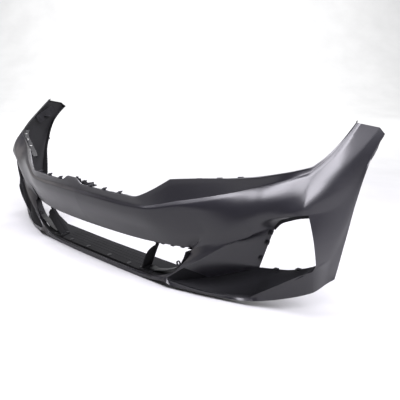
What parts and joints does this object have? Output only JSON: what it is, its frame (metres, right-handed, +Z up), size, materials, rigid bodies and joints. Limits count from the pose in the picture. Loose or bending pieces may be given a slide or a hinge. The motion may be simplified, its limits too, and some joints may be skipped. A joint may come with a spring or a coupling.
{
  "type": "bumper cover",
  "caption": "Primed front bumper cover of a saloon car with a wide lower intake, side air openings, a black intake shelf, brackets and clips.",
  "frame": {"origin": "middle of the cover's length, on the car's centre plane, level with the lower lip's bottom edge", "axes": "+X towards the car's left side, -Y towards the car's nose, +Z up"},
  "size_m": [1.814, 0.518, 0.5542],
  "materials": {
    "primed_cover": "satin grey primer",
    "grained_plastic": "grained black polypropylene",
    "black_plastic": "plain black polypropylene",
    "grey_plastic": "dark grey plastic",
    "zinc_steel": "zinc-plated steel"
  },
  "bodies": {
    "root": {"bumper_skin": "primed_cover", "lower_shelf": "grained_plastic", "intake_strut_left": "grained_plastic", "intake_strut_right": "grained_plastic", "intake_corner_frame_left": "black_plastic", "intake_corner_frame_right": "black_plastic", "intake_edge_clips_left": "black_plastic", "intake_edge_clips_right": "black_plastic", "air_opening_clips_left": "black_plastic", "air_opening_clips_right": "black_plastic", "grille_clip_strip_left": "grey_plastic", "grille_clip_strip_right": "grey_plastic", "centre_locator": "black_plastic", "centre_locator_screws": "zinc_steel", "headlamp_bracket_left": "black_plastic", "headlamp_bracket_right": "black_plastic", "headlamp_bracket_screws_left": "zinc_steel", "headlamp_bracket_screws_right": "zinc_steel", "fender_bracket_left": "black_plastic", "fender_bracket_right": "black_plastic", "fender_bracket_rivets_left": "black_plastic", "fender_bracket_rivets_right": "black_plastic", "arch_liner_nuts_left": "zinc_steel", "arch_liner_nuts_right": "zinc_steel", "undertray_nuts": "zinc_steel", "shelf_rivets": "black_plastic", "intake_strut_screws": "black_plastic"}
  },
  "joints": []
}
